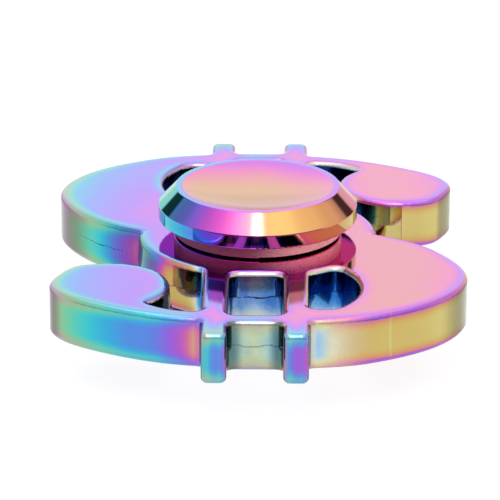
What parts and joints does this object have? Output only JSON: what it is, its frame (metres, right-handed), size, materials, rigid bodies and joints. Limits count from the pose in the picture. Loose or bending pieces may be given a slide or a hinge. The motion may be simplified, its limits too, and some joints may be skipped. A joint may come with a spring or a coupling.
{
  "type": "fidget spinner",
  "caption": "Dollar-sign fidget spinner: a rainbow-plated metal plate turning on a ball bearing between two dished finger caps.",
  "frame": {"origin": "centre of the bearing, on the spin axis and the plate's mid-plane", "axes": "+Z along the spin axis towards the upper cap, Y along the two bars of the plate, so the plate reads as a dollar sign from +Z with -Y at its foot"},
  "size_m": [0.0516, 0.0708, 0.0188],
  "materials": {
    "rainbow_plating": "polished",
    "cap_plating": "polished",
    "bearing_steel": "polished",
    "ball_steel": "polished",
    "cage_steel": "satin",
    "shield_steel": "satin",
    "spring_steel": "satin"
  },
  "bodies": {
    "caps": {"cap_top": "cap_plating", "cap_bottom": "cap_plating", "bearing_inner_ring": "bearing_steel"},
    "spinner": {"spinner_body": "rainbow_plating", "bearing_outer_ring": "bearing_steel", "shield_upper": "shield_steel", "shield_lower": "shield_steel", "snap_ring_upper": "spring_steel", "snap_ring_lower": "spring_steel"},
    "cage": {"bearing_cage": "cage_steel"},
    "ball_01": {"ball_01": "ball_steel"},
    "ball_02": {"ball_02": "ball_steel"},
    "ball_03": {"ball_03": "ball_steel"},
    "ball_04": {"ball_04": "ball_steel"},
    "ball_05": {"ball_05": "ball_steel"},
    "ball_06": {"ball_06": "ball_steel"},
    "ball_07": {"ball_07": "ball_steel"},
    "ball_08": {"ball_08": "ball_steel"},
    "ball_09": {"ball_09": "ball_steel"},
    "ball_10": {"ball_10": "ball_steel"}
  },
  "joints": [
    {"name": "body_spin", "type": "hinge", "parent": "caps", "child": "spinner", "pos_m": [0, 0, 0], "axis": [0, 0, 1], "continuous": true},
    {"name": "cage_spin", "type": "hinge", "parent": "caps", "child": "cage", "pos_m": [0, 0, 0], "axis": [0, 0, 1], "continuous": true},
    {"name": "ball_01_roll", "type": "hinge", "parent": "cage", "child": "ball_01", "pos_m": [0.00476, 0, 0], "axis": [0, 0, 1], "continuous": true},
    {"name": "ball_02_roll", "type": "hinge", "parent": "cage", "child": "ball_02", "pos_m": [0.00385, 0.0028, 0], "axis": [0, 0, 1], "continuous": true},
    {"name": "ball_03_roll", "type": "hinge", "parent": "cage", "child": "ball_03", "pos_m": [0.00147, 0.00453, 0], "axis": [0, 0, 1], "continuous": true},
    {"name": "ball_04_roll", "type": "hinge", "parent": "cage", "child": "ball_04", "pos_m": [-0.00147, 0.00453, 0], "axis": [0, 0, 1], "continuous": true},
    {"name": "ball_05_roll", "type": "hinge", "parent": "cage", "child": "ball_05", "pos_m": [-0.00385, 0.0028, 0], "axis": [0, 0, 1], "continuous": true},
    {"name": "ball_06_roll", "type": "hinge", "parent": "cage", "child": "ball_06", "pos_m": [-0.00476, 0, 0], "axis": [0, 0, 1], "continuous": true},
    {"name": "ball_07_roll", "type": "hinge", "parent": "cage", "child": "ball_07", "pos_m": [-0.00385, -0.0028, 0], "axis": [0, 0, 1], "continuous": true},
    {"name": "ball_08_roll", "type": "hinge", "parent": "cage", "child": "ball_08", "pos_m": [-0.00147, -0.00453, 0], "axis": [0, 0, 1], "continuous": true},
    {"name": "ball_09_roll", "type": "hinge", "parent": "cage", "child": "ball_09", "pos_m": [0.00147, -0.00453, 0], "axis": [0, 0, 1], "continuous": true},
    {"name": "ball_10_roll", "type": "hinge", "parent": "cage", "child": "ball_10", "pos_m": [0.00385, -0.0028, 0], "axis": [0, 0, 1], "continuous": true}
  ],
  "couplings": [
    {"joint": "cage_spin", "follows": "body_spin", "ratio": 0.58336},
    {"joint": "ball_01_roll", "follows": "body_spin", "ratio": 2.9157},
    {"joint": "ball_02_roll", "follows": "body_spin", "ratio": 2.9157},
    {"joint": "ball_03_roll", "follows": "body_spin", "ratio": 2.9157},
    {"joint": "ball_04_roll", "follows": "body_spin", "ratio": 2.9157},
    {"joint": "ball_05_roll", "follows": "body_spin", "ratio": 2.9157},
    {"joint": "ball_06_roll", "follows": "body_spin", "ratio": 2.9157},
    {"joint": "ball_07_roll", "follows": "body_spin", "ratio": 2.9157},
    {"joint": "ball_08_roll", "follows": "body_spin", "ratio": 2.9157},
    {"joint": "ball_09_roll", "follows": "body_spin", "ratio": 2.9157},
    {"joint": "ball_10_roll", "follows": "body_spin", "ratio": 2.9157}
  ]
}
